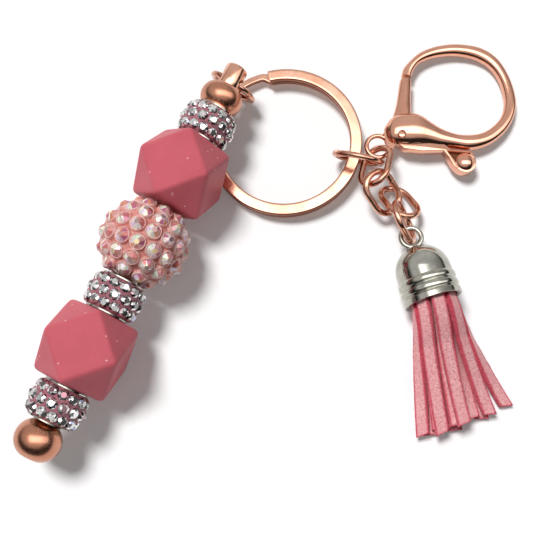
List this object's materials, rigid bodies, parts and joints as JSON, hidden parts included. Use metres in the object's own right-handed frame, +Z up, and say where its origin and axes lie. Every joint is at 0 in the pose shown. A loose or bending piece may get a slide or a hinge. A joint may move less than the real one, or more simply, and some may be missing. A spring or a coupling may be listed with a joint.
{
  "type": "wristlet keychain",
  "caption": "Wristlet keychain: a beaded rose gold bar and a flat split ring joined by a short chain to a lobster claw clasp and a pink suede tassel.",
  "frame": {"origin": "centre of the footprint on the table, where the keychain lies flat", "axes": "+X across the layout from the bead bar to the clasp, +Y from the tassel to the key ring, +Z up from the table"},
  "size_m": [0.0906, 0.0798, 0.017],
  "materials": {
    "rose_gold": "polished",
    "antique_silver": "satin",
    "pink_silicone": "matte",
    "mauve_clay": "matte",
    "clear_crystal": "gloss",
    "pink_resin": "gloss",
    "pearly_stone": "gloss",
    "pink_suede": "matte"
  },
  "bodies": {
    "key_ring": {"key_ring": "rose_gold"},
    "bar_jump_ring": {"bar_jump_ring": "rose_gold"},
    "bar": {"eye_post": "rose_gold", "top_ball": "rose_gold", "bar_rod": "rose_gold"},
    "end_ball": {"end_ball": "rose_gold"},
    "crystal_bead_1": {"crystal_bead_1_core": "antique_silver", "crystal_bead_1_clay": "mauve_clay", "crystal_bead_1_stones": "clear_crystal"},
    "crystal_bead_2": {"crystal_bead_2_core": "antique_silver", "crystal_bead_2_clay": "mauve_clay", "crystal_bead_2_stones": "clear_crystal"},
    "crystal_bead_3": {"crystal_bead_3_core": "antique_silver", "crystal_bead_3_clay": "mauve_clay", "crystal_bead_3_stones": "clear_crystal"},
    "hex_bead_upper": {"hex_bead_upper": "pink_silicone"},
    "hex_bead_lower": {"hex_bead_lower": "pink_silicone"},
    "berry_bead": {"berry_bead_ball": "pink_resin", "berry_bead_stones": "pearly_stone"},
    "ring_jump_ring": {"ring_jump_ring": "rose_gold"},
    "chain_link_1": {"chain_link_1": "rose_gold"},
    "chain_link_2": {"chain_link_2": "rose_gold"},
    "chain_link_3": {"chain_link_3": "rose_gold"},
    "chain_link_4": {"chain_link_4": "rose_gold"},
    "clasp": {"clasp_body": "rose_gold", "clasp_pin": "rose_gold", "clasp_spring": "antique_silver"},
    "clasp_lever": {"clasp_lever": "rose_gold"},
    "tassel": {"tassel_cap": "antique_silver", "tassel_band": "pink_suede", "tassel_strands_outer": "pink_suede", "tassel_strands_inner": "pink_suede"}
  },
  "joints": [
    {"name": "bar_jump_swing", "type": "hinge", "parent": "key_ring", "child": "bar_jump_ring", "pos_m": [-0.00906, 0.02979, 0.00192], "axis": [-0.728, -0.6629, -0.1749], "range_deg": [-4, 40]},
    {"name": "bar_swing", "type": "hinge", "parent": "bar_jump_ring", "child": "bar", "pos_m": [-0.00966, 0.02863, 0.00873], "axis": [-0.8991, 0.4378, 0], "range_deg": [0, 60]},
    {"name": "crystal_bead_1_spin", "type": "hinge", "parent": "bar", "child": "crystal_bead_1", "pos_m": [-0.01396, 0.0198, 0.00876], "axis": [-0.4378, -0.899, 0.003], "continuous": true},
    {"name": "hex_bead_upper_spin", "type": "hinge", "parent": "bar", "child": "hex_bead_upper", "pos_m": [-0.01843, 0.01061, 0.00879], "axis": [-0.4378, -0.899, 0.003], "continuous": true},
    {"name": "berry_bead_spin", "type": "hinge", "parent": "bar", "child": "berry_bead", "pos_m": [-0.0247, -0.00226, 0.00884], "axis": [-0.4378, -0.899, 0.003], "continuous": true},
    {"name": "crystal_bead_2_spin", "type": "hinge", "parent": "bar", "child": "crystal_bead_2", "pos_m": [-0.02944, -0.01199, 0.00887], "axis": [-0.4378, -0.899, 0.003], "continuous": true},
    {"name": "hex_bead_lower_spin", "type": "hinge", "parent": "bar", "child": "hex_bead_lower", "pos_m": [-0.03392, -0.02118, 0.0089], "axis": [-0.4378, -0.899, 0.003], "continuous": true},
    {"name": "crystal_bead_3_spin", "type": "hinge", "parent": "bar", "child": "crystal_bead_3", "pos_m": [-0.03839, -0.03037, 0.00893], "axis": [-0.4378, -0.899, 0.003], "continuous": true},
    {"name": "end_ball_unscrew", "type": "slide", "parent": "bar", "child": "end_ball", "axis": [-0.4378, -0.899, 0.003], "range_m": [0, 0.008]},
    {"name": "ring_jump_swing", "type": "hinge", "parent": "key_ring", "child": "ring_jump_ring", "pos_m": [0.01336, 0.01525, 0.00302], "axis": [0.2908, 0.9562, 0.033], "range_deg": [-40, 55]},
    {"name": "link_1_swing", "type": "hinge", "parent": "ring_jump_ring", "child": "chain_link_1", "pos_m": [0.01599, 0.01573, 0.0016], "axis": [-0.8677, 0.2994, -0.3969], "range_deg": [-18, 5]},
    {"name": "link_2_swing", "type": "hinge", "parent": "chain_link_1", "child": "chain_link_2", "pos_m": [0.01577, 0.00977, 0.00594], "axis": [0.742, -0.0787, 0.6658], "range_deg": [-30, 6]},
    {"name": "link_3_swing", "type": "hinge", "parent": "chain_link_2", "child": "chain_link_3", "pos_m": [0.0193, 0.00533, 0.00383], "axis": [0.9003, 0.0397, -0.4336], "range_deg": [-14, 18]},
    {"name": "link_4_swing", "type": "hinge", "parent": "chain_link_3", "child": "chain_link_4", "pos_m": [0.02039, 0.00579, 0.00495], "axis": [0.441, -0.7816, 0.4411], "range_deg": [-5, 18]},
    {"name": "tassel_swing", "type": "hinge", "parent": "chain_link_4", "child": "tassel", "pos_m": [0.02292, -0.00124, 0.0045], "axis": [0.4823, -0.1877, -0.8556], "range_deg": [-30, 18]},
    {"name": "clasp_swing", "type": "hinge", "parent": "chain_link_1", "child": "clasp", "pos_m": [0.01642, 0.0167, 0.00301], "axis": [-0.7124, -0.632, -0.3051], "range_deg": [-40, 12]},
    {"name": "clasp_lever_open", "type": "hinge", "parent": "clasp", "child": "clasp_lever", "pos_m": [0.02221, 0.0195, 0.00316], "axis": [-0.0499, -0.0449, -0.9977], "range_deg": [0, 25], "stiffness_Nm_per_rad": 0.01}
  ]
}
